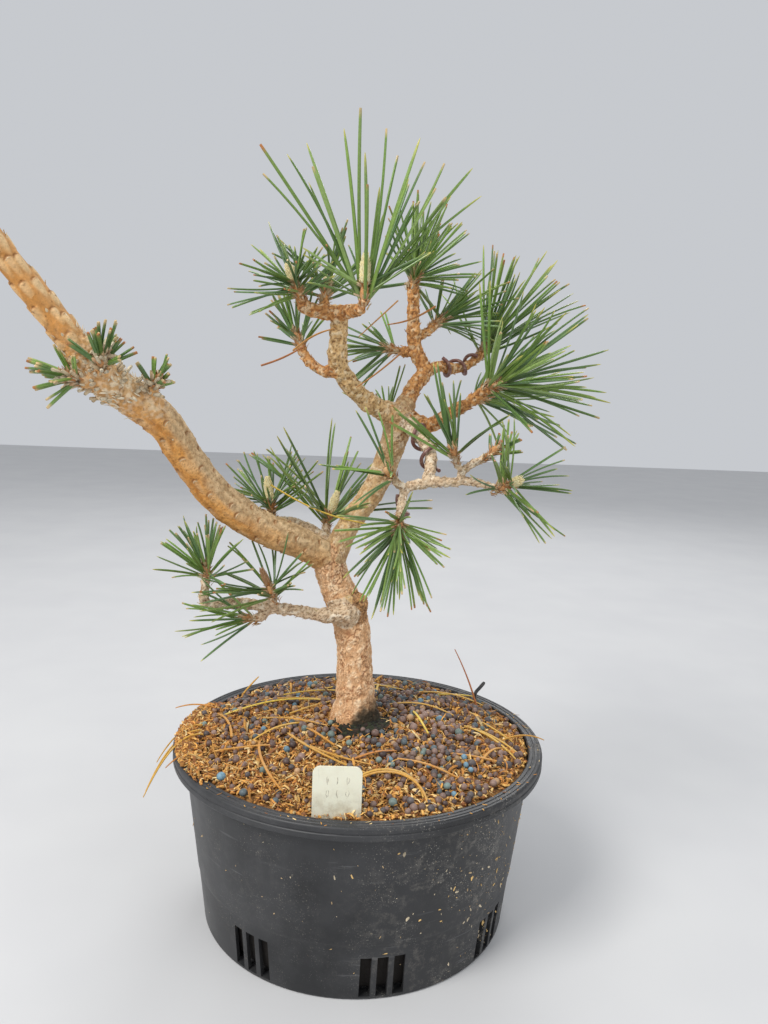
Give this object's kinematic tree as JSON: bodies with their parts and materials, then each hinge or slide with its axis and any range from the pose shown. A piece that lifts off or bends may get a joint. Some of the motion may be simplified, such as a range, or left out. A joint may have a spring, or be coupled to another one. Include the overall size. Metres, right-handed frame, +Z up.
{
  "type": "potted pine bonsai in training",
  "caption": "Young pine bonsai with tufted needles and one long low limb reaching sideways, in a round black plastic growing pot with slotted foot and a plant label.",
  "frame": {"origin": "centre of the pot's foot, on the surface it stands on", "axes": "+Z up along the pot's axis, -Y is the front, the long limb reaches out towards -X"},
  "size_m": [0.3509, 0.225, 0.4496],
  "materials": {
    "black_plastic": "satin, scuffed and dusty",
    "potting_mix": "rough fibre and chips with round prills",
    "pine_bark": "rough flaking bark",
    "needle_green": "waxy, satin",
    "bud_scale": "matt, papery scales",
    "brown_wire": "brown anodised",
    "black_wire": "satin",
    "label_plastic": "satin"
  },
  "bodies": {
    "root": {"pot": "black_plastic", "potting_mix": "potting_mix", "trunk_and_limbs": "pine_bark", "needles_apex": "needle_green", "needles_crown_left": "needle_green", "needles_crown_back": "needle_green", "needles_crown_hook": "needle_green", "needles_centre_top": "needle_green", "needles_centre_right": "needle_green", "needles_centre_left": "needle_green", "needles_right_upper": "needle_green", "needles_right_lower": "needle_green", "needles_right_rear": "needle_green", "needles_droop_tip": "needle_green", "needles_droop_side": "needle_green", "needles_droop_right": "needle_green", "needles_droop_upper": "needle_green", "needles_droop_middle": "needle_green", "needles_low_left_tip": "needle_green", "needles_low_left_heel": "needle_green", "needles_low_left_middle": "needle_green", "needles_fork_left": "needle_green", "needles_fork_right": "needle_green", "needles_trunk_back": "needle_green", "needles_elbow": "needle_green", "needles_node_left": "needle_green", "needles_node_top": "needle_green", "needles_node_back": "needle_green", "bud_apex": "bud_scale", "bud_crown_left": "bud_scale", "bud_crown_back": "bud_scale", "bud_fork_left": "bud_scale", "bud_fork_right": "bud_scale", "bud_low_left": "bud_scale", "bud_droop_right": "bud_scale", "training_wire_droop": "brown_wire", "training_wire_droop_tip": "brown_wire", "training_wire_right": "brown_wire", "anchor_wire_end": "black_wire", "plant_label": "label_plastic"}
  },
  "joints": []
}
